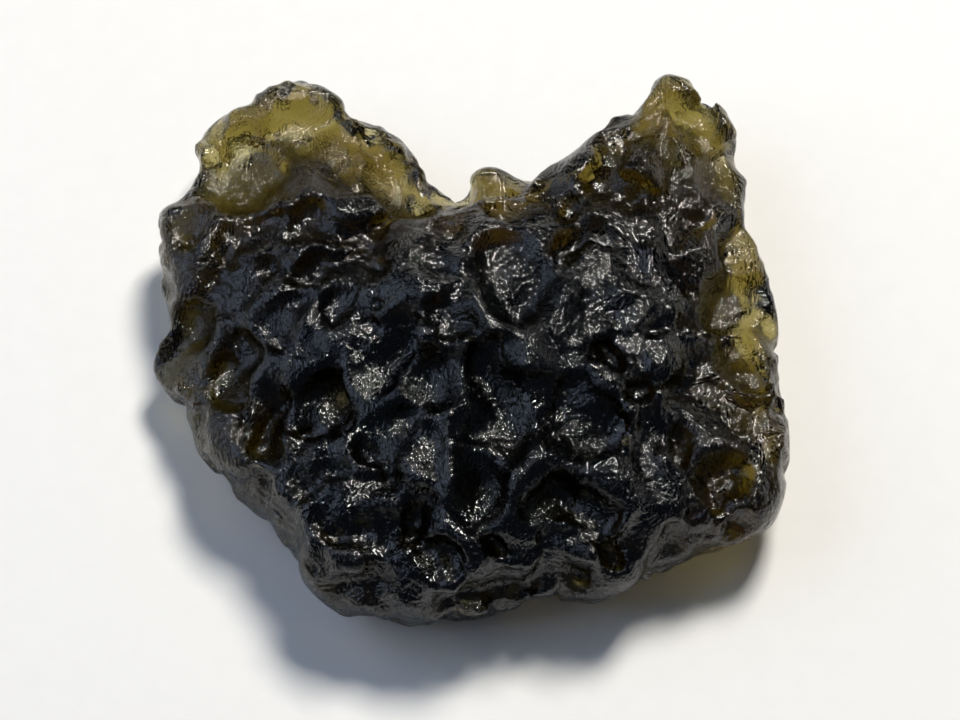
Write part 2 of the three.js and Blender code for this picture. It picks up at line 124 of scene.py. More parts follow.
# Pits that can be told apart in the photograph
TOP_PITS = (
    # Far left lobe, thin enough to let light through
    Pit(-13.3, 13.9, 2.8, 3.0, 2.3, -15, smooth=True),
    Pit(-10.2, 17.5, 2.1, 1.7, 1.9, 0, 8, smooth=True),
    Pit(-10.2, 13.9, 1.6, 2.2, 0.7, 25),
    Pit(-15.2, 17.5, 1.6, 1.1, 0.6, 60),
    Pit(-16.9, 10.3, 1.3, 1.6, 0.7, 30),
    Pit(-4.2, 13.0, 2.0, 3.6, 2.3, 42, smooth=True),
    Pit(-7.4, 14.6, 0.9, 2.4, 0.9, 12),
    Pit(-8.0, 18.0, 1.0, 1.3, 0.5, 40),
    # Left flank
    Pit(-8.4, 9.6, 2.5, 1.5, 1.1, -12, 10),
    Pit(-9.0, 7.2, 1.7, 0.6, 1.3, 30, 15),
    Pit(-12.7, 9.3, 3.2, 1.5, 0.7, 28),
    Pit(-13.7, 6.3, 2.4, 1.8, 0.6, 15),
    Pit(-16.2, 4.2, 1.6, 2.0, 0.7, 10),
    Pit(-10.7, 3.6, 1.2, 2.4, 1.0, -42, 8),
    Pit(-7.4, 4.2, 1.5, 1.7, 0.9, -20, 10),
    Pit(-6.2, 7.0, 1.7, 1.5, 0.9, 0, 12),
    Pit(-13.5, 1.0, 1.5, 2.2, 0.8, -15),
    Pit(-11.4, -1.0, 1.2, 2.0, 0.9, -10, 8),
    Pit(-8.6, -1.8, 2.2, 2.3, 1.3, 0, 12),
    Pit(-11.4, -4.0, 1.2, 2.1, 0.9, 12, 8),
    Pit(-9.8, -6.2, 1.8, 1.6, 0.7, 30),
    Pit(-7.6, -5.4, 1.2, 1.5, 0.8, 10, 10),
    # Middle, where the pits are long and run down the stone
    Pit(-2.0, 6.2, 1.6, 1.7, 1.0, 0, 12),
    Pit(2.6, 5.0, 2.6, 4.3, 2.1, 14, 14, smooth=True),
    Pit(-0.7, 3.6, 1.0, 2.4, 0.9, -8, 8),
    Pit(-4.6, 1.2, 1.4, 3.4, 1.8, -32, 10, smooth=True),
    Pit(-2.2, -0.6, 2.4, 2.3, 2.0, 0, 16, smooth=True),
    Pit(1.6, -2.6, 2.0, 3.9, 2.2, 14, 12, smooth=True),
    Pit(0.6, -7.2, 1.8, 3.6, 1.9, -4, 6, smooth=True),
    Pit(-4.8, -3.6, 1.4, 2.1, 1.0, -12, 10),
    Pit(-2.3, -5.0, 1.4, 1.8, 1.0, 0, 12),
    Pit(-2.7, -8.4, 1.9, 1.5, 0.9, -20, 10),
    Pit(-4.6, -6.6, 1.2, 1.1, 0.7, 0, 10),
    Pit(-5.8, -9.3, 1.8, 1.3, 0.9, 0, 14),
    Pit(-8.0, -8.6, 1.4, 1.7, 0.8, 25),
    # Notch between the lobes
    Pit(1.4, 12.7, 2.1, 1.1, 1.6, 8, smooth=True),
    Pit(1.9, 10.3, 2.4, 1.3, 0.8, 0, 6),
    Pit(4.9, 10.9, 1.5, 1.7, 0.8, 0),
    Pit(5.9, 8.4, 1.6, 1.3, 0.9, 0, 10),
    Pit(6.2, 6.4, 1.5, 0.6, 1.1, 22, 14),
    # Right flank
    Pit(8.0, 11.8, 1.8, 2.2, 1.0, 0, 10),
    Pit(11.2, 13.2, 1.1, 1.9, 0.6, 10),
    Pit(11.0, 9.4, 1.5, 1.5, 0.7, 0, 8),
    Pit(12.9, 17.1, 1.6, 2.2, 1.0, 10),
    Pit(10.6, 17.2, 1.0, 1.4, 0.5, 30),
    Pit(14.5, 14.4, 1.8, 2.4, 1.2, 0, smooth=True),
    Pit(15.4, 9.6, 1.3, 2.2, 1.3, -18, smooth=True),
    Pit(14.9, 5.5, 2.1, 2.1, 2.0, 0, smooth=True),
    Pit(9.7, 6.3, 1.5, 1.7, 0.9, 0, 12),
    Pit(12.3, 6.4, 1.2, 1.6, 0.7, 0, 10),
    Pit(8.4, 3.8, 1.3, 1.6, 0.8, 10, 10),
    Pit(11.1, 3.4, 1.7, 0.6, 1.1, 0, 14),
    Pit(11.9, 1.9, 2.0, 1.2, 0.6, 0),
    Pit(7.3, 1.1, 1.3, 0.6, 1.1, 0, 14),
    Pit(5.0, 0.9, 1.4, 1.4, 0.8, 0, 12),
    Pit(5.8, -3.0, 2.4, 2.9, 1.4, 6, 10),
    Pit(9.4, -0.6, 1.6, 1.5, 0.8, 0, 10),
    Pit(12.6, -0.6, 1.5, 1.3, 0.7, -30, 8),
    Pit(15.2, 1.4, 1.4, 1.9, 0.9, 0, 10),
    Pit(10.1, -3.6, 1.2, 1.9, 1.0, 0, 12),
    Pit(12.2, -3.6, 1.0, 1.8, 0.9, 0, 12),
    Pit(14.6, -2.2, 1.6, 1.5, 0.9, 0, 10),
    Pit(14.4, -5.4, 1.9, 1.7, 1.1, 0, 12),
    Pit(9.9, -6.8, 2.0, 1.5, 0.7, 0, 6),
    Pit(4.4, -7.4, 1.8, 1.6, 0.8, 0, 8),
    Pit(7.0, -8.2, 1.5, 1.2, 0.7, 20, 8),
    # Near edge
    Pit(1.8, -10.3, 1.7, 1.1, 0.9, 0, 12),
    Pit(4.4, -10.2, 1.5, 0.9, 0.7, 0, 12),
    Pit(8.2, -10.3, 0.6, 1.6, 1.2, 4, 6),
    Pit(9.6, -10.0, 0.9, 1.2, 0.8, 0, 8),
    Pit(-2.2, -11.2, 1.6, 1.1, 0.7, 0),
    Pit(-5.6, -11.4, 0.8, 1.0, 0.9, -15),
)


def chance(index: int, purpose: int) -> float:
    """Gives a repeatable number from 0 to 1 for each whole number and purpose, as the solid's source does.

    Args:
        index: the number of the thing that is varied.
        purpose: which of its properties is varied.

    Returns:
        A number from 0 to 1.
    """
    wave = math.sin(index * 12.9898 + purpose * 78.233) * 43758.5453
    return wave - math.floor(wave)


def between(limits: tuple[float, float], share: float) -> float:
    """Gives the value a share of the way from the first limit to the second."""
    return limits[0] + (limits[1] - limits[0]) * share


def unit(vectors: Array) -> Array:
    """Scales vectors, along the last axis, to length one."""
    return vectors / np.maximum(np.linalg.norm(vectors, axis=-1, keepdims=True), TINY)


def turned_about(vector: Array, axis: Array, degrees: float) -> Array:
    """Turns a vector about a unit axis that it is at right angles to."""
    angle = math.radians(degrees)
    return vector * math.cos(angle) + np.cross(axis, vector) * math.sin(angle)


def closed_curve(points: tuple[tuple[float, float], ...], steps: int) -> Array:
    """Runs a smooth closed curve through points.

    Args:
        points: the points, in order round the curve.
        steps: short straight steps from each point to the next.

    Returns:
        The curve's points, one row each.
    """
    here = np.array(points)
    before, after, beyond = (np.roll(here, shift, axis=0) for shift in (1, -1, -2))
    share = (np.arange(steps) / steps)[None, :, None]
    here, before, after, beyond = (row[:, None, :] for row in (here, before, after, beyond))
    curve = 0.5 * (
        2 * here
        + (after - before) * share
        + (2 * before - 5 * here + 4 * after - beyond) * share**2
        + (3 * here - before - 3 * after + beyond) * share**3
    )
    return curve.reshape(-1, 2)


def largest_shell(corners: Array, quads: Array) -> tuple[Array, Array]:
    """Keeps the largest closed shell of a mesh and drops the specks round it.

    Args:
        corners: the mesh's corner points.
        quads: the four corners of each face.

    Returns:
        The corner points and faces of that shell.
    """
    shells = np.arange(len(corners))
    while True:
        lowest = shells[quads].min(axis=1)
        joined = shells.copy()
        for side in range(4):
            np.minimum.at(joined, quads[:, side], lowest)
        joined = joined[joined]
        if np.array_equal(joined, shells):
            break
        shells = joined
    kept = shells == np.bincount(shells).argmax()
    numbers = np.cumsum(kept) - 1
    return corners[kept], numbers[quads[kept[quads[:, 0]]]]


@dataclass
class Body:
    """The smooth body of the stone before any pit, in millimetres."""

    height_reach: float = 2.7
    outline_allowance: float = 0.25
    rounding_least: float = 1.2
    rounding_most: float = 3.0
    rounding_share: float = 0.6
    rounding_extra: float = 0.6
    rounding_power: float = 2.3
    plan_half: float = 26.0
    plan_step: float = 0.2
    outline_steps: int = 6
    middle: tuple[float, float] = (1.5, 1.0)
    edge_most: float = 0.98
    edge_moves: int = 4
    edge_move_most: float = 0.6
    edge_slope_least: float = 0.2
    rim: Array = field(init=False)
    plan_fields: Array = field(init=False)

    def __post_init__(self) -> None:
        """Measures the plan once: distance in from the outline, middle height and half thickness."""
        self.rim = closed_curve(OUTLINE, self.outline_steps)
        axis = np.arange(-self.plan_half, self.plan_half + self.plan_step / 2, self.plan_step)
        x, y = np.meshgrid(axis, axis, indexing="ij")
        top, under = self.blend_heights(x, y)
        inset = self.measure_in(x, y) + self.outline_allowance
        self.plan_fields = np.stack([inset, (top + under) / 2, (top - under) / 2])

    def measure_in(self, x: Array, y: Array) -> Array:
        """Measures how far places in plan lie inside the outline.

        Args:
            x: their X.
            y: their Y.

        Returns:
            The distances, below zero outside.
        """
        nearest = np.full(x.shape, np.inf)
        inside = np.zeros(x.shape, bool)
        for (ax, ay), (bx, by) in zip(self.rim, np.roll(self.rim, -1, axis=0)):
            dx, dy = bx - ax, by - ay
            share = np.clip(((x - ax) * dx + (y - ay) * dy) / (dx * dx + dy * dy), 0, 1)
            nearest = np.minimum(nearest, (x - ax - share * dx) ** 2 + (y - ay - share * dy) ** 2)
            if by != ay:
                inside ^= ((by > y) != (ay > y)) & (x < ax + (y - ay) / dy * dx)
        return np.where(inside, 1, -1) * np.sqrt(nearest)

    def blend_heights(self, x: Array, y: Array) -> tuple[Array, Array]:
        """Blends the heights of both faces from the nearest given heights.

        Args:
            x: X of the places in plan.
            y: Y of the places in plan.

        Returns:
            The heights of the top and of the underside.
        """
        weights = np.zeros(x.shape)
        top = np.zeros(x.shape)
        under = np.zeros(x.shape)
        for point_x, point_y, point_top, point_under in HEIGHTS:
            reach = 2 * self.height_reach**2
            weight = np.exp(-((x - point_x) ** 2 + (y - point_y) ** 2) / reach) + TINY
            weights += weight
            top += weight * point_top
            under += weight * point_under
        return top / weights, under / weights

    def plan_at(self, x: Array, y: Array) -> Array:
        """Reads the measured plan at places in plan.

        Args:
            x: their X.
            y: their Y.

        Returns:
            Rows of distance in, middle height and half thickness.
        """
        count = self.plan_fields.shape[1]
        u = np.clip((np.asarray(x) + self.plan_half) / self.plan_step, 0, count - 1.001)
        v = np.clip((np.asarray(y) + self.plan_half) / self.plan_step, 0, count - 1.001)
        i, j = u.astype(int), v.astype(int)
        u, v = u - i, v - j
        fields = self.plan_fields
        low = fields[:, i, j] * (1 - u) + fields[:, i + 1, j] * u
        high = fields[:, i, j + 1] * (1 - u) + fields[:, i + 1, j + 1] * u
        return low * (1 - v) + high * v

    def rounding(self, half: Array) -> Array:
        """Gives how far the edge's rounding reaches in, for a body of this half thickness."""
        reach = self.rounding_share * half + self.rounding_extra
        return np.clip(reach, self.rounding_least, self.rounding_most)

    def level(self, x: Array, y: Array, z: Array, inner_inset: float = 0.0, share: float = 1.0) -> Array:
        """Measures the body: zero on its surface and below zero in the glass.

        Args:
            x: X of the points.
            y: Y of the points.
            z: Z of the points, which may have a further axis of heights.
            inner_inset: how far the outline is drawn in.
            share: the share of the thickness that is kept.

        Returns:
            The level at each point.
        """
        inset, middle, half = self.plan_at(x, y)
        power = self.rounding_power
        edge = np.maximum(1 - (inset - inner_inset) / self.rounding(half), 0)
        rise = np.abs(z - middle) / (half * share)
        return ((edge**power + rise**power) ** (1 / power) - 1) * half * share

    def slope(self, point: Array, nudge: float = 0.02) -> Array:
        """Gives the direction in which the body's level grows fastest at one point.

        Args:
            point: the point.
            nudge: how far to each side of it the level is compared.

        Returns:
            The direction, longer where the level grows faster.
        """
        steps = np.eye(3) * nudge
        above, below = (point[None] + side * steps for side in (1, -1))
        return (self.level(*above.T) - self.level(*below.T)) / (2 * nudge)

    def face_point(self, x: float, y: float, face: Face) -> Array:
        """Gives the point of a face straight above or below a place in plan.

        Args:
            x: X of the place.
            y: Y of the place.
            face: the face.

        Returns:
            The point.
        """
        inset, middle, half = (float(value) for value in self.plan_at(x, y))
        edge = min(max(1 - inset / float(self.rounding(half)), 0.0), self.edge_most)
        rise = (1 - edge**self.rounding_power) ** (1 / self.rounding_power)
        return np.array([x, y, middle + face.value * half * rise])

    def edge_point(self, x: float, y: float, rise: float) -> Array:
        """Gives the point of the edge nearest to a place on the outline.

        Args:
            x: X of the place.
            y: Y of the place.
            rise: the share of half the thickness that it lies above the edge's middle.

        Returns:
            The point.
        """
        _, middle, half = (float(value) for value in self.plan_at(x, y))
        point = np.array([x, y, middle + half * rise])
        for _ in range(self.edge_moves):
            slope = self.slope(point)
            steepness = max(float(np.linalg.norm(slope)), self.edge_slope_least)
            move = self.level(*point) / steepness
            move = float(np.clip(move, -self.edge_move_most, self.edge_move_most))
            point = point - slope * move / steepness
        return point


@dataclass
class Bowl:
    """A pit as an ellipsoid whose middle is held above the surface."""

    middle: Array
    axes: Array
    half_axes: Array
    smooth: bool

    #: How many of its depths the ellipsoid measures from its middle to its floor
    ROUNDNESS = 2.2

    @classmethod
    def opened(cls, point: Array, normal: Array, pit: Pit) -> "Bowl":
        """Opens a pit at a point of the surface.

        Args:
            point: the middle of the pit's mouth.
            normal: the surface's outward normal there, of length one.
            pit: the pit's sizes and direction.

        Returns:
            The bowl.
        """
        guide = np.array([0.0, 1.0, 0.0]) if abs(normal[2]) > 0.6 else np.array([0.0, 0.0, 1.0])
        side = unit(np.cross(guide, normal))
        head = np.cross(normal, side)
        turn = math.radians(pit.turn)
        width = side * math.cos(turn) + head * math.sin(turn)
        length = turned_about(np.cross(normal, width), width, -pit.lean)
        open_share = math.sqrt(1 - ((cls.ROUNDNESS - 1) / cls.ROUNDNESS) ** 2)
        return cls(
            middle=point + normal * pit.depth * (cls.ROUNDNESS - 1),
            axes=np.stack([width, length, np.cross(width, length)]),
            half_axes=np.array(
                [pit.across / open_share, pit.along / open_share, pit.depth * cls.ROUNDNESS]
            ),
            smooth=pit.smooth,
        )

    def level(self, points: Array) -> Array:
        """Measures the bowl's hollow: above zero in it, and falling with the distance from it."""
        local = (points - self.middle) @ self.axes.T / self.half_axes
        return (1 - np.linalg.norm(local, axis=-1)) * float(self.half_axes.min())

    def grain(self) -> float:
        """Gives the turn in plan of the pit's length, in radians from 0 to half a turn."""
        length = self.axes[1]
        return math.atan2(-length[0], length[1]) % math.pi


@dataclass
class PitPlan:
    """Where the pits lie on the body: those listed, and those spread between them."""

    body: Body
    top_count: int = 150
    top_clear: float = 1.0
    top_sizes: PitSizes = PitSizes((1.2, 1.9), (0.6, 1.0))
    under_count: int = 96
    under_sizes: PitSizes = PitSizes((1.6, 2.6), (0.8, 1.5))
    edge_sizes: PitSizes = PitSizes((1.2, 1.9), (0.5, 1.0))
    edge_spacing: float = 2.3
    edge_rise: float = 0.5
    edge_full_size_at: float = 3.6
    spread_radius: float = 22.0
    spread_inset: float = 0.8
    edge_unevenness: float = 0.5
    length_shares: tuple[float, float] = (0.8, 1.35)
    most_lean: float = 10.0
    seeds: tuple[int, int, int] = (0, 200, 400)

    def drawn(self, x: float, y: float, index: int, sizes: PitSizes, scale: float = 1.0) -> Pit:
        """Draws the pit with a number from a range of sizes, as the solid's source does.

        Args:
            x: X of its mouth.
            y: Y of its mouth.
            index: its number.
            sizes: the half widths and depths that it is drawn from.
            scale: how much smaller it is where the stone is thin.

        Returns:
            The pit.
        """
        across = scale * between(sizes.widths, chance(index, 2))
        return Pit(
            x,
            y,
            across,
            across * between(self.length_shares, chance(index, 3)),
            scale * between(sizes.depths, chance(index, 4)),
            chance(index, 5) * 180,
            chance(index, 6) * self.most_lean,
        )

    def on_face(self, pit: Pit, face: Face) -> Bowl:
        """Opens a pit on one face of the body."""
        point = self.body.face_point(pit.x, pit.y, face)
        return Bowl.opened(point, unit(self.body.slope(point)), pit)

    def spread(self, face: Face, count: int, sizes: PitSizes, seed: int) -> list[Bowl]:
        """Spreads pits over one face, a golden turn apart.

        Args:
            face: the face.
            count: places that are tried.
            sizes: the pits' sizes.
            seed: the number of the first pit.

        Returns:
            A bowl for each place that is on the stone and not in a listed pit.
        """
        placed = TOP_PITS if face is Face.TOP else ()
        bowls = []
        for i in range(count):
            radius = self.spread_radius * math.sqrt((i + 0.5) / count)
            x = self.body.middle[0] + radius * math.cos(i * GOLDEN_TURN)
            y = self.body.middle[1] + radius * math.sin(i * GOLDEN_TURN)
            reach = self.top_clear / 2
            covered = any(math.hypot(p.x - x, p.y - y) < reach * (p.across + p.along) for p in placed)
            if not covered and self.body.plan_at(x, y)[0] >= self.spread_inset:
                bowls.append(self.on_face(self.drawn(x, y, i + seed, sizes), face))
        return bowls

    def round_edge(self, seed: int) -> list[Bowl]:
        """Sets pits round the edge, in a zigzag of two rows.

        Args:
            seed: the number of the first pit.

        Returns:
            Their bowls.
        """
        rim = self.body.rim
        lengths = np.concatenate([[0], np.cumsum(np.linalg.norm(np.roll(rim, -1, 0) - rim, axis=1))])
        count = round(lengths[-1] / self.edge_spacing)
        bowls = []
        for i in range(count):
            place = (i + self.edge_unevenness * chance(i, 7)) / count * lengths[-1]
            x, y = rim[int(np.argmax(lengths > place)) - 1]
            half = float(self.body.plan_at(x, y)[2])
            point = self.body.edge_point(x, y, self.edge_rise * (1 if i % 2 == 0 else -1))
            pit = self.drawn(x, y, i + seed, self.edge_sizes, min(half / self.edge_full_size_at, 1))
            bowls.append(Bowl.opened(point, unit(self.body.slope(point)), pit))
        return bowls

    def bowls(self) -> list[Bowl]:
        """Gives every pit that the solid has too.

        Returns:
            Their bowls, in the order in which the solid is carved.
        """
        return [
            *(self.on_face(pit, Face.TOP) for pit in TOP_PITS),
            *self.spread(Face.TOP, self.top_count, self.top_sizes, self.seeds[0]),
            *self.spread(Face.UNDERSIDE, self.under_count, self.under_sizes, self.seeds[1]),
            *self.round_edge(self.seeds[2]),
        ]


@dataclass
class Block:
    """A block of grid points round the stone that pits are carved into, in millimetres."""

    body: Body
    step: float = 0.22
    margin: float = 0.8
    heights: tuple[float, float] = (-1.0, 13.0)
    waves: int = 14
    wave_lengths: tuple[float, float] = (2.4, 5.0)
    wave_crest: float = 1.6
    warp_reach: float = 0.30
    core_share: float = 0.24
    core_inset: float = 1.6
    seed: int = 7
    low: Array = field(init=False)
    points: Array = field(init=False)
    levels: Array = field(init=False)
    core: Array = field(init=False)
    owners: Array = field(init=False)
    bowls: list[Bowl] = field(init=False, default_factory=list)

    def __post_init__(self) -> None:
        """Lays out the grid and measures the body on it."""
        self.low = np.array([*(self.body.rim.min(0) - self.margin), self.heights[0]])
        high = np.array([*(self.body.rim.max(0) + self.margin), self.heights[1]])
        counts = np.ceil((high - self.low) / self.step).astype(int) + 1
        x, y, z = (self.low[i] + np.arange(counts[i]) * self.step for i in range(3))
        plan_x, plan_y = (side[:, :, None] for side in np.meshgrid(x, y, indexing="ij"))
        self.levels = self.body.level(plan_x, plan_y, z).astype(np.float32)
        self.core = self.body.level(plan_x, plan_y, z, self.core_inset, self.core_share).astype(np.float32)
        points = np.stack(np.meshgrid(x, y, z, indexing="ij"), axis=-1).astype(np.float32)
        random = np.random.default_rng(self.seed)
        warp = np.stack([self.swell(points, random) for _ in range(3)], axis=-1)
        self.points = points + self.warp_reach * warp
        self.owners = np.full(self.levels.shape, -1, np.int16)

    def swell(self, points: Array, random: np.random.Generator) -> Array:
        """Adds up waves in random directions to a smooth, even unrest.

        Args:
            points: the places where it is wanted.
            random: where its directions come from.

        Returns:
            Values from about -1 to 1.
        """
        total = np.zeros(points.shape[:-1], np.float32)
        for _ in range(self.waves):
            direction = unit(random.normal(size=3)) * 2 * math.pi / random.uniform(*self.wave_lengths)
            total += np.sin(points @ direction.astype(np.float32) + np.float32(random.uniform(0, 7)))
        return total * math.sqrt(2 / self.waves) / self.wave_crest

    def carve(self, bowl: Bowl) -> None:
        """Takes a bowl's hollow out of the stone, and notes which bowl each grid point is nearest to.

        Args:
            bowl: the bowl.
        """
        reach = float(bowl.half_axes.max()) + self.warp_reach + self.step
        first = np.maximum(((bowl.middle - reach - self.low) / self.step).astype(int), 0)
        last = np.maximum(((bowl.middle + reach - self.low) / self.step).astype(int) + 2, 0)
        part = tuple(slice(a, b) for a, b in zip(first, last))
        level = bowl.level(self.points[part])
        cut = level > self.levels[part]
        self.levels[part][cut] = level[cut]
        self.owners[part][cut] = len(self.bowls)
        self.bowls.append(bowl)

    def soften(self, rounds: int) -> None:
        """Rounds the ridges between the pits, as etching does.

        Args:
            rounds: how many times each grid point is evened out with its neighbours.
        """
        self.levels = np.minimum(self.levels, self.core)
        for _ in range(rounds):
            for axis in range(3):
                low = np.roll(self.levels, 1, axis)
                high = np.roll(self.levels, -1, axis)
                self.levels = (low + 2 * self.levels + high) / 4

    def surface(self) -> tuple[Array, Array]:
        """Finds the stone's surface.

        Returns:
            The corner points in millimetres, and the four corners of each face.
        """
        grid = openvdb.FloatGrid()
        grid.copyFromArray(self.levels)
        corners, quads = grid.convertToQuads(isovalue=0.0)
        return largest_shell(self.low + corners * self.step, quads)

    def nearest_index(self, points: Array) -> tuple[Array, ...]:
        """Gives the grid indices nearest to points."""
        return tuple(np.rint((points - self.low) / self.step).astype(int).T)


@dataclass
class Scoops:
    """Small scoops strewn over the pitted surface, too small for the solid."""

    count: int = 1700
    spacing: float = 0.75
    sizes: PitSizes = PitSizes((0.35, 0.85), (0.16, 0.38))
    turns: tuple[float, float] = (-55, 55)
    leans: tuple[float, float] = (5, 20)
    length_shares: tuple[float, float] = (0.9, 1.8)
    tries_each: int = 12
    seed: int = 11

    def carve_into(self, block: Block) -> int:
        """Carves the scoops.

        Args:
            block: the block with the pits already carved.

        Returns:
            How many there are.
        """
        corners, _ = block.surface()
        slopes = np.stack(np.gradient(block.levels), axis=-1)
        random = np.random.default_rng(self.seed)
        taken: list[Array] = []
        for corner in corners[random.permutation(len(corners))[: self.count * self.tries_each]]:
            if len(taken) == self.count:
                break
            if taken and np.min(np.sum((np.array(taken) - corner) ** 2, axis=1)) < self.spacing**2:
                continue
            owner = block.owners[block.nearest_index(corner)]
            if owner >= 0 and block.bowls[owner].smooth:
                continue
            taken.append(corner)
            normal = unit(slopes[block.nearest_index(corner)])
            across = random.uniform(*self.sizes.widths)
            pit = Pit(
                0,
                0,
                across,
                across * random.uniform(*self.length_shares),
                random.uniform(*self.sizes.depths),
                random.uniform(*self.turns),
                random.uniform(*self.leans),
            )
            block.carve(Bowl.opened(corner, normal, pit))
        return len(taken)


def linear(colour: str) -> tuple[float, float, float, float]:
    """Turns an sRGB hex colour to the linear values that shaders take.

    Args:
        colour: six hex digits after a #.

    Returns:
        Red, green, blue and an alpha of one.
    """
    shares = [int(colour[i : i + 2], 16) / 255 for i in (1, 3, 5)]
    red, green, blue = (s / 12.92 if s <= 0.04045 else ((s + 0.055) / 1.055) ** 2.4 for s in shares)
    return red, green, blue, 1.0


def add_node(
    tree: bpy.types.NodeTree, kind: str, inputs: dict | None = None, **settings: object
) -> bpy.types.Node:
    """Adds one shader node with its settings and links.

    Args:
        tree: the material's node tree.
        kind: Blender's name for the kind of node.
        inputs: input names or numbers, each with a value or with the output that feeds it.
        settings: the node's own settings.

    Returns:
        The node.
    """
    node = tree.nodes.new(kind)
    for name, value in settings.items():
        setattr(node, name, value)
    for name, value in (inputs or {}).items():
        if isinstance(value, bpy.types.NodeSocket):
            tree.links.new(value, node.inputs[name])
        else:
            node.inputs[name].default_value = value
    return node


@dataclass(frozen=True)
class EtchedMoldaviteGlass:
    """Moldavite, a natural silica-rich glass, etched by ground water.

    Its surface is glossy but never flat: the etching leaves ripples a fraction of a millimetre apart, which
    break each highlight into grains. They are drawn as fine as the photograph's size can show. The glass is
    clear olive green, so thin lobes let light through and the thick middle looks black. It is dull where it
    faces down, which makes the light that comes through it hazy.
    """

    name: str = "etched moldavite glass"
    ior: float = 1.49
    absorption_per_mm: Triple = (0.52, 0.60, 1.14)
    roughness: tuple[float, float] = (0.04, 0.10)
    underside_roughness: float = 0.8
    dull_patch_mm: float = 2.6
    dull_patch_limits: tuple[float, float] = (0.35, 0.65)
    underside_from: tuple[float, float] = (0.0, -0.3)
    ripple_apart_mm: float = 0.14
    ripple_length_mm: float = 0.30
    ripple_height_mm: float = 0.115
    grain_mm: float = 0.30
    grain_height_mm: float = 0.085
    density_spare: float = 1.02

    #: The corner attribute that tells how much of each direction's ripples shows
    RIPPLE_SHARES = "ripple_shares"

    @staticmethod
    def ripple_turns() -> Array:
        """Gives the directions of the ripples, as turns from +Y in radians."""
        return np.arange(3) * math.pi / 3

    def made(self) -> bpy.types.Material:
        """Builds the material.

        Returns:
            The material.
        """
        material = bpy.data.materials.new(self.name)
        material.use_nodes = True
        tree = material.node_tree
        tree.nodes.clear()
        spot = add_node(tree, "ShaderNodeTexCoord")
        shares = add_node(tree, "ShaderNodeAttribute", attribute_name=self.RIPPLE_SHARES)
        each_share = add_node(tree, "ShaderNodeSeparateXYZ", {"Vector": shares.outputs["Vector"]})
        across, along = 1 / (self.ripple_apart_mm * MM), 1 / (self.ripple_length_mm * MM)
        height = 0.0
        for turn, share in zip(self.ripple_turns(), each_share.outputs):
            turned = add_node(
                tree,
                "ShaderNodeMapping",
                {"Vector": spot.outputs["Object"], "Rotation": (0, 0, -turn)},
            )
            stretched = add_node(
                tree,
                "ShaderNodeVectorMath",
                {0: turned.outputs["Vector"], 1: (across, along, along)},
                operation="MULTIPLY",
            )
            ripple = add_node(
                tree, "ShaderNodeTexNoise", {"Vector": stretched.outputs[0], "Scale": 1.0, "Detail": 1.0}
            )
            height = add_node(
                tree,
                "ShaderNodeMath",
                {0: ripple.outputs["Fac"], 1: share, 2: height},
                operation="MULTIPLY_ADD",
            ).outputs[0]
        grain = add_node(
            tree,
            "ShaderNodeTexNoise",
            {"Vector": spot.outputs["Object"], "Scale": 1 / (self.grain_mm * MM), "Detail": 2.0},
        )
        grain_bump = add_node(
            tree,
            "ShaderNodeBump",
            {"Height": grain.outputs["Fac"], "Strength": 1.0, "Distance": self.grain_height_mm * MM},
        )
        ripple_bump = add_node(
            tree,
            "ShaderNodeBump",
            {
                "Height": height,
                "Strength": 1.0,
                "Distance": self.ripple_height_mm * MM,
                "Normal": grain_bump.outputs["Normal"],
            },
        )
        patches = add_node(
            tree,
            "ShaderNodeTexNoise",
            {"Vector": spot.outputs["Object"], "Scale": 1 / (self.dull_patch_mm * MM), "Detail": 2.0},
        )
        dullness = add_node(
            tree,
            "ShaderNodeMapRange",
            {
                "Value": patches.outputs["Fac"],
                "From Min": self.dull_patch_limits[0],
                "From Max": self.dull_patch_limits[1],
                "To Min": self.roughness[0],
                "To Max": self.roughness[1],
            },
        )
        facing = add_node(tree, "ShaderNodeSeparateXYZ", {"Vector": spot.outputs["Normal"]})
        under = add_node(
            tree,
            "ShaderNodeMapRange",
            {
                "Value": facing.outputs["Z"],
                "From Min": self.underside_from[0],
                "From Max": self.underside_from[1],
                "To Min": 0.0,
                "To Max": 1.0,
            },
        )
        gloss = add_node(
            tree,
            "ShaderNodeMix",
            {0: under.outputs["Result"], 2: dullness.outputs["Result"], 3: self.underside_roughness},
        )
        surface = add_node(
            tree,
            "ShaderNodeBsdfPrincipled",
            {
                "Base Color": (1, 1, 1, 1),
                "Roughness": gloss.outputs[0],
                "IOR": self.ior,
                "Transmission Weight": 1.0,
                "Normal": ripple_bump.outputs["Normal"],
            },
        )
        strongest = max(self.absorption_per_mm) * self.density_spare
        volume = add_node(
            tree,
            "ShaderNodeVolumeAbsorption",
            {
                "Color": (*(1 - each / strongest for each in self.absorption_per_mm), 1),
                "Density": strongest / MM,
            },
        )
        add_node(
            tree,
            "ShaderNodeOutputMaterial",
            {"Surface": surface.outputs["BSDF"], "Volume": volume.outputs["Volume"]},
        )
        return material


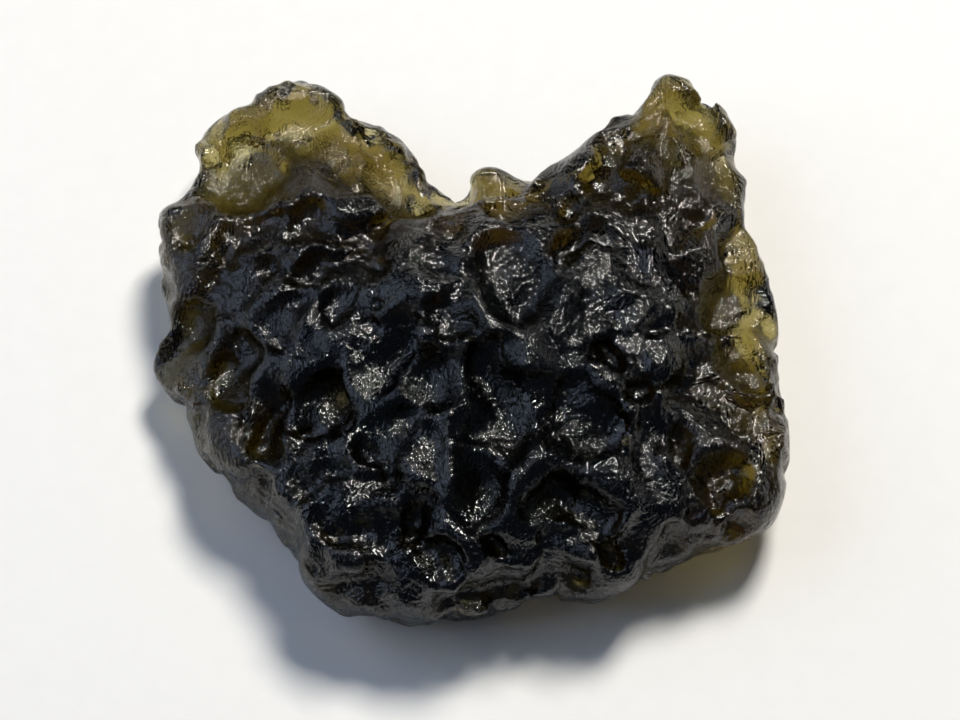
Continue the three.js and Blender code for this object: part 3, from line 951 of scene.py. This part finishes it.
@dataclass(frozen=True)
class UncoatedPaper:
    """Plain white office paper: matt and very slightly warm, with a faint mottle of its fibres."""

    name: str = "uncoated white paper"
    light: str = "#F6F6F3"
    dark: str = "#F1F1EE"
    mottle_mm: float = 1.4
    roughness: float = 0.9

    def made(self) -> bpy.types.Material:
        """Builds the material.

        Returns:
            The material.
        """
        material = bpy.data.materials.new(self.name)
        material.use_nodes = True
        tree = material.node_tree
        tree.nodes.clear()
        spot = add_node(tree, "ShaderNodeTexCoord")
        mottle = add_node(
            tree,
            "ShaderNodeTexNoise",
            {"Vector": spot.outputs["Object"], "Scale": 1 / (self.mottle_mm * MM), "Detail": 3.0},
        )
        tone = add_node(
            tree,
            "ShaderNodeMix",
            {"Factor": mottle.outputs["Fac"], "A": linear(self.dark), "B": linear(self.light)},
            data_type="RGBA",
        )
        surface = add_node(
            tree,
            "ShaderNodeBsdfPrincipled",
            {"Base Color": tone.outputs["Result"], "Roughness": self.roughness},
        )
        add_node(tree, "ShaderNodeOutputMaterial", {"Surface": surface.outputs["BSDF"]})
        return material


@dataclass
class Moldavite:
    """The stone itself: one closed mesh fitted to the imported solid."""

    name: str = "moldavite_stone"
    foot_wear: float = 0.4
    blend_rounds: int = 2
    body: Body = field(default_factory=Body)
    scoops: Scoops = field(default_factory=Scoops)
    finish: EtchedMoldaviteGlass = EtchedMoldaviteGlass()

    def fitted(self, corners: Array) -> Array:
        """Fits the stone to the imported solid's box.

        Args:
            corners: its corner points, in millimetres, in plan.

        Returns:
            The points in metres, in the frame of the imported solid.
        """
        low, high = (np.array(side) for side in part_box(NODE))
        stone_low, stone_high = corners.min(0), corners.max(0)
        return low + (corners - stone_low) / (stone_high - stone_low) * (high - low)

    def ripple_shares(self, block: Block, corners: Array, quads: Array) -> Array:
        """Works out how much of each direction's ripples a corner shows, from the pit that it lies in.

        Args:
            block: the block with its pits.
            corners: the stone's corner points.
            quads: the corners of each face.

        Returns:
            A share for each direction, one row for each corner.
        """
        owners = block.owners[block.nearest_index(corners)]
        grains = np.array([*(bowl.grain() for bowl in block.bowls), 0.0])
        turns = EtchedMoldaviteGlass.ripple_turns()
        aside = np.abs((grains[owners][:, None] - turns + math.pi / 2) % math.pi - math.pi / 2)
        shares = np.clip(1 - aside * len(turns) / math.pi, 0, 1)
        for _ in range(self.blend_rounds):
            means = shares[quads].mean(axis=1)
            sums = np.zeros_like(shares)
            counts = np.zeros(len(corners))
            for side in range(4):
                np.add.at(sums, quads[:, side], means)
                np.add.at(counts, quads[:, side], 1)
            shares = sums / counts[:, None]
        return shares

    def build(self) -> bpy.types.Object:
        """Returns:
            The stone.
        """
        block = Block(self.body)
        for bowl in PitPlan(self.body).bowls():
            block.carve(bowl)
        pits = len(block.bowls)
        block.soften(1)
        scoops = self.scoops.carve_into(block)
        block.soften(1)
        corners, quads = block.surface()
        shares = self.ripple_shares(block, corners, quads)
        corners[:, 2] = np.maximum(corners[:, 2], corners[:, 2].min() + self.foot_wear)

        mesh = bpy.data.meshes.new(self.name)
        mesh.from_pydata(self.fitted(corners), [], quads)
        mesh.attributes.new(EtchedMoldaviteGlass.RIPPLE_SHARES, "FLOAT_VECTOR", "POINT").data.foreach_set(
            "vector", shares.astype(np.float32).ravel()
        )
        mesh.shade_smooth()
        mesh.materials.append(self.finish.made())
        stone = bpy.data.objects.new(self.name, mesh)
        bpy.context.scene.collection.objects.link(stone)
        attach(stone, "root")
        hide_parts(NODE)
        log.info("stone: %d pits, %d scoops, %d faces", pits, scoops, len(quads))
        return stone


@dataclass
class PaperSheet:
    """The white paper that the stone lies on."""

    name: str = "paper"
    width: float = 3.0
    finish: UncoatedPaper = UncoatedPaper()

    def build(self) -> bpy.types.Object:
        """Returns:
            The sheet.
        """
        half = self.width / 2
        mesh = bpy.data.meshes.new(self.name)
        corners = [(-half, -half, 0), (half, -half, 0), (half, half, 0), (-half, half, 0)]
        mesh.from_pydata(corners, [], [(0, 1, 2, 3)])
        mesh.materials.append(self.finish.made())
        sheet = bpy.data.objects.new(self.name, mesh)
        sheet.location.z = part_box(NODE)[0][2]
        bpy.context.scene.collection.objects.link(sheet)
        log.info("paper: %.1f m wide", self.width)
        return sheet


def seen_from(azimuth: float, elevation: float) -> Vector:
    """Gives the direction towards a viewer or a light.

    Args:
        azimuth: degrees from -Y towards +X.
        elevation: degrees above the table.

    Returns:
        A vector of length one.
    """
    turn, rise = math.radians(azimuth), math.radians(elevation)
    return Vector((math.sin(turn) * math.cos(rise), -math.cos(turn) * math.cos(rise), math.sin(rise)))


@dataclass
class SoftLight:
    """One soft lamp: a square window of light turned towards the stone."""

    name: str
    azimuth: float
    elevation: float
    distance: float
    size: float
    watts: float
    colour: str

    def build(self) -> bpy.types.Object:
        """Builds the lamp.

        Returns:
            The lamp's object.
        """
        lamp = bpy.data.lights.new(self.name, "AREA")
        lamp.size = self.size
        lamp.energy = self.watts
        lamp.color = linear(self.colour)[:3]
        light = bpy.data.objects.new(self.name, lamp)
        direction = seen_from(self.azimuth, self.elevation)
        light.location = direction * self.distance
        light.rotation_euler = direction.to_track_quat("Z", "Y").to_euler()
        bpy.context.scene.collection.objects.link(light)
        log.info("light: %s", self.name)
        return light


@dataclass
class Room:
    """The dim room round the table, seen only in the stone's reflections."""

    colour: str = "#B4CBEC"
    strength: float = 0.10

    def build(self) -> bpy.types.World:
        """Builds the room's light.

        Returns:
            The world that gives it.
        """
        world = bpy.data.worlds.new("dim room")
        world.use_nodes = True
        background = world.node_tree.nodes["Background"]
        background.inputs["Color"].default_value = linear(self.colour)
        background.inputs["Strength"].default_value = self.strength
        bpy.context.scene.world = world
        log.info("room: strength %.2f", self.strength)
        return world


@dataclass
class PhotoCamera:
    """The photograph's viewpoint: high in front of the stone, at close range."""

    elevation: float = 66.0
    distance: float = 220.0 * MM
    target: Triple = (0.6 * MM, -1.8 * MM, 5.7 * MM)
    pixels_per_mm: float = 17.8
    picture_width: int = 960
    sensor: float = 36.0
    clip: tuple[float, float] = (0.01, 20.0)

    def build(self) -> bpy.types.Object:
        """Builds the camera and makes it the scene's own.

        Returns:
            The camera's object.
        """
        data = bpy.data.cameras.new("photo camera")
        data.sensor_width = self.sensor
        data.lens = self.pixels_per_mm * (self.distance / MM) / self.picture_width * self.sensor
        data.clip_start, data.clip_end = self.clip
        camera = bpy.data.objects.new("photo camera", data)
        direction = seen_from(0, self.elevation)
        camera.location = Vector(self.target) + direction * self.distance
        camera.rotation_euler = direction.to_track_quat("Z", "Y").to_euler()
        bpy.context.scene.collection.objects.link(camera)
        bpy.context.scene.camera = camera
        log.info("camera: %.1f mm lens", data.lens)
        return camera


def main() -> None:
    """Builds the stone, its paper, the lights and the camera."""
    logging.basicConfig(level=logging.INFO, format="%(name)s: %(message)s")
    PhotoCamera().build()
    PaperSheet().build()
    Moldavite().build()
    SoftLight(
        "warm window", azimuth=154, elevation=57, distance=0.5, size=0.13, watts=2.7, colour="#FFF9F0"
    ).build()
    SoftLight(
        "cool window", azimuth=-100, elevation=38, distance=0.5, size=0.45, watts=0.95, colour="#CFE0FF"
    ).build()
    Room().build()
    bpy.context.scene.view_settings.view_transform = "Standard"


if __name__ == "__main__":
    main()
